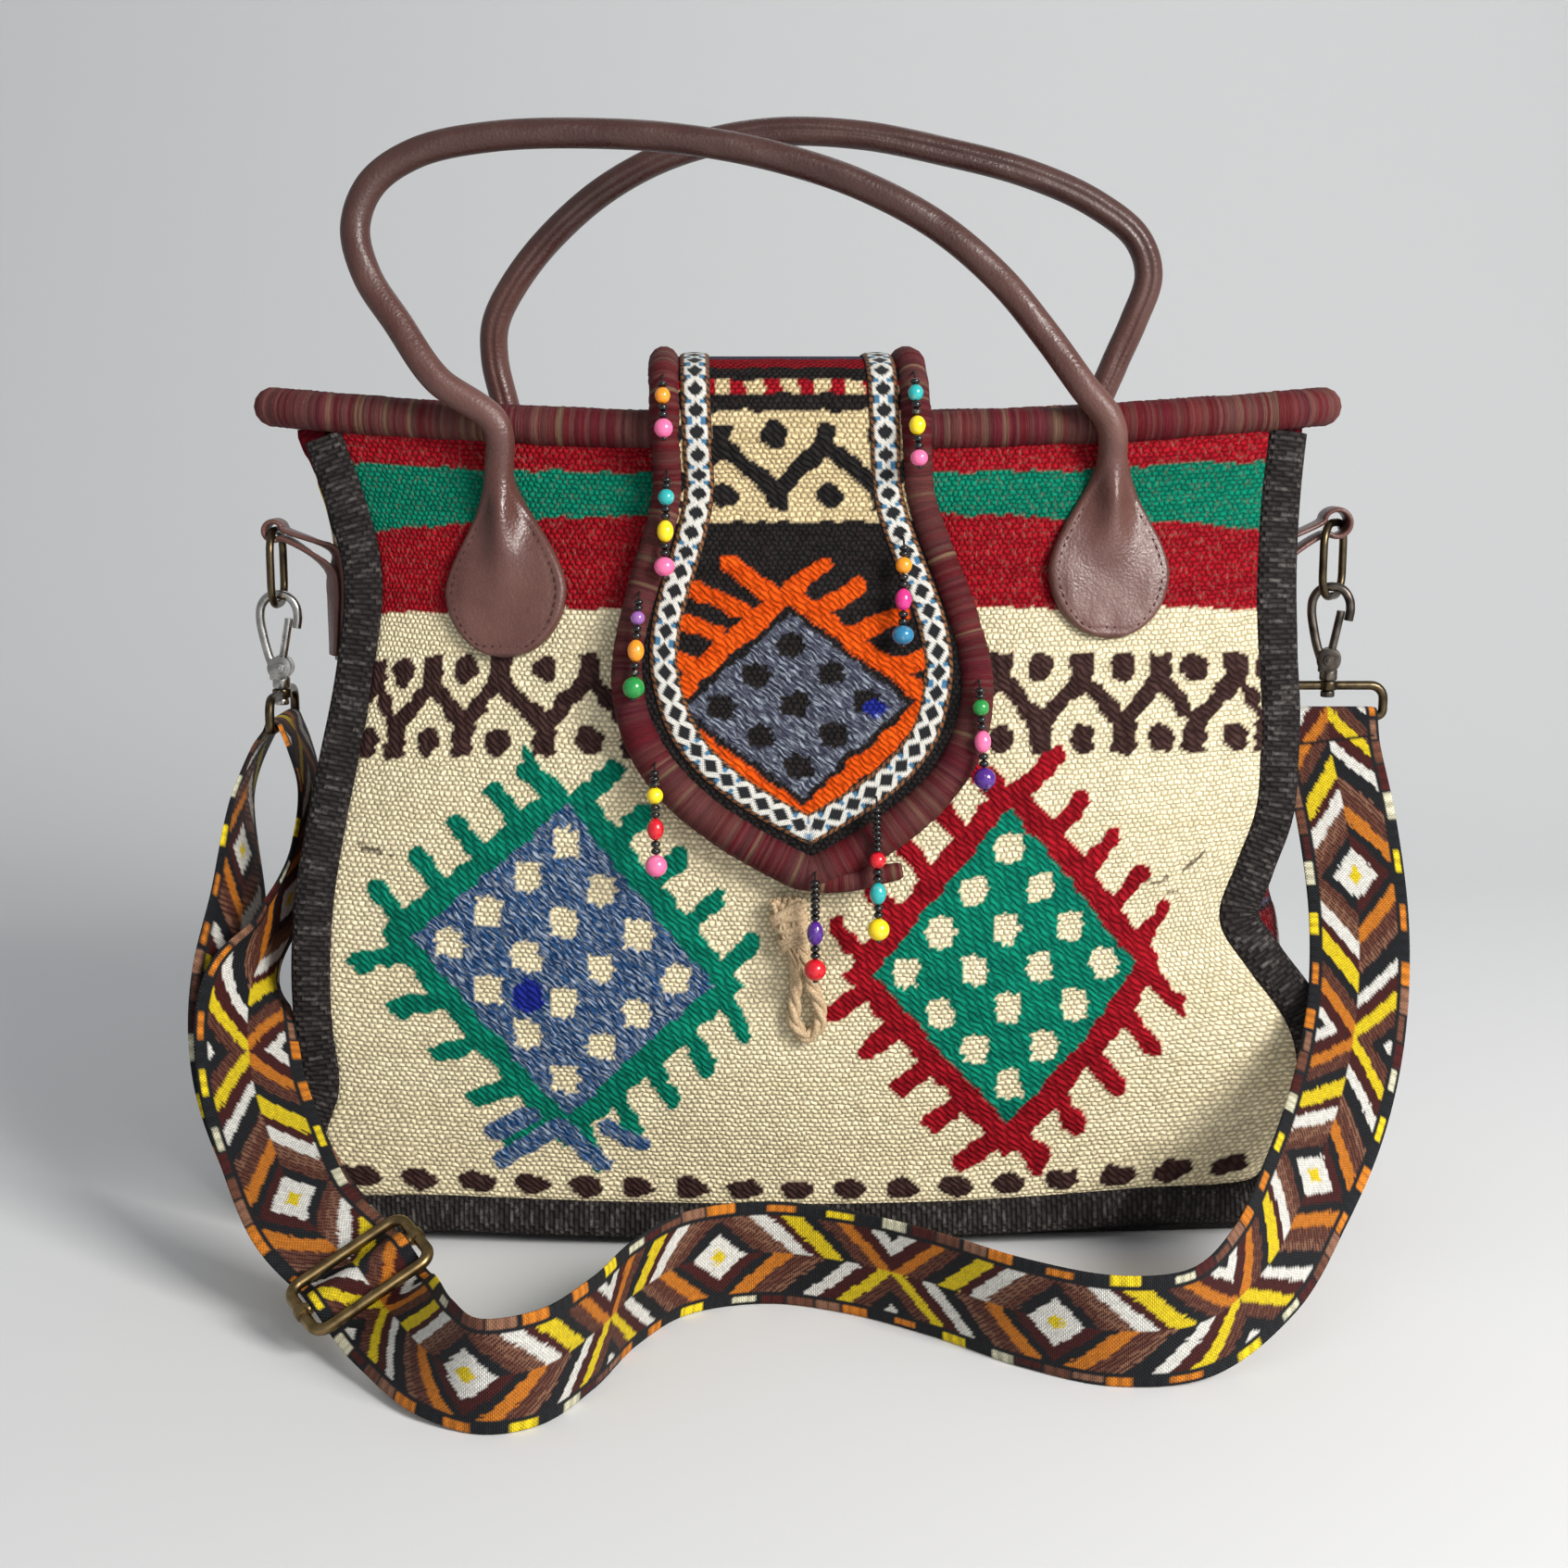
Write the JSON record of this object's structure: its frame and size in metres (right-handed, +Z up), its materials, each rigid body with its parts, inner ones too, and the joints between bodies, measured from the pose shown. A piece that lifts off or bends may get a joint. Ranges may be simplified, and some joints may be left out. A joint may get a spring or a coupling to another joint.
{
  "type": "tote bag",
  "caption": "Flat-woven wool tote bag with a tongue flap, rolled leather handles, bead strands and a clip-on webbing shoulder strap.",
  "frame": {"origin": "on the floor under the middle of the flat base", "axes": "+Z up, -Y towards the patterned front, +X to the right as seen from the front"},
  "size_m": [0.458, 0.2628, 0.4238],
  "materials": {
    "kilim_front": "flat-woven wool, cream ground with red and green stripes and brocaded motifs",
    "kilim_back": "flat-woven wool, cream ground with red and green stripes",
    "side_cloth": "burgundy woven cloth",
    "base_cloth": "burgundy woven cloth",
    "lining_cloth": "plain dark cotton",
    "seam_tape": "charcoal woven tape",
    "wrapped_yarn": "variegated wool yarn wrapped in close turns",
    "kilim_flap": "flat-woven wool, black ground with an orange hooked motif",
    "ribbon": "woven ribbon of white braid with dark diamonds",
    "painted_beads": "glossy painted wood in several colours, black seed beads",
    "jute": "twisted natural twine",
    "brown_leather": "smooth dark brown, stitched edges",
    "bronze": "antique bronze plating",
    "nickel": "bright nickel plating",
    "gunmetal": "dark gunmetal plating",
    "webbing": "jacquard webbing with chevrons and diamonds"
  },
  "bodies": {
    "bag": {"front_panel": "kilim_front", "back_panel": "kilim_back", "left_gusset": "side_cloth", "right_gusset": "side_cloth", "base_panel": "base_cloth", "lining": "lining_cloth", "front_tape": "seam_tape", "back_tape": "seam_tape", "rim_roll": "wrapped_yarn", "flap": "kilim_flap", "flap_binding": "wrapped_yarn", "flap_ribbon": "ribbon", "bead_strand_1": "painted_beads", "bead_strand_2": "painted_beads", "bead_strand_3": "painted_beads", "bead_strand_4": "painted_beads", "bead_strand_5": "painted_beads", "bead_strand_6": "painted_beads", "bead_strand_7": "painted_beads", "bead_strand_8": "painted_beads", "bead_strand_9": "painted_beads", "jute_loop": "jute", "front_handle": "brown_leather", "back_handle": "brown_leather", "left_tab": "brown_leather", "right_tab": "brown_leather", "left_ring": "bronze", "right_ring": "bronze", "left_eye": "bronze", "right_eye": "bronze", "shoulder_strap": "webbing", "slider_frame": "bronze", "slider_bar": "bronze"},
    "left_snap": {"left_hook": "nickel", "left_gate_pin": "nickel"},
    "left_lever": {"left_gate": "nickel"},
    "right_snap": {"right_hook": "gunmetal", "right_gate_pin": "gunmetal"},
    "right_lever": {"right_gate": "gunmetal"}
  },
  "joints": [
    {"name": "left_hook_swivel", "type": "hinge", "parent": "bag", "child": "left_snap", "pos_m": [-0.199, 0, 0.206], "axis": [0, 0, 1], "range_deg": [-35, 35]},
    {"name": "left_gate_press", "type": "hinge", "parent": "left_snap", "child": "left_lever", "pos_m": [-0.199, 0, 0.216], "axis": [0, -1, 0], "range_deg": [0, 19], "stiffness_Nm_per_rad": 0.01},
    {"name": "right_hook_swivel", "type": "hinge", "parent": "bag", "child": "right_snap", "pos_m": [0.205, 0, 0.209], "axis": [0, 0, 1], "range_deg": [-35, 35]},
    {"name": "right_gate_press", "type": "hinge", "parent": "right_snap", "child": "right_lever", "pos_m": [0.205, 0, 0.219], "axis": [-0.2571, -0.9664, 0], "range_deg": [0, 19], "stiffness_Nm_per_rad": 0.01}
  ]
}
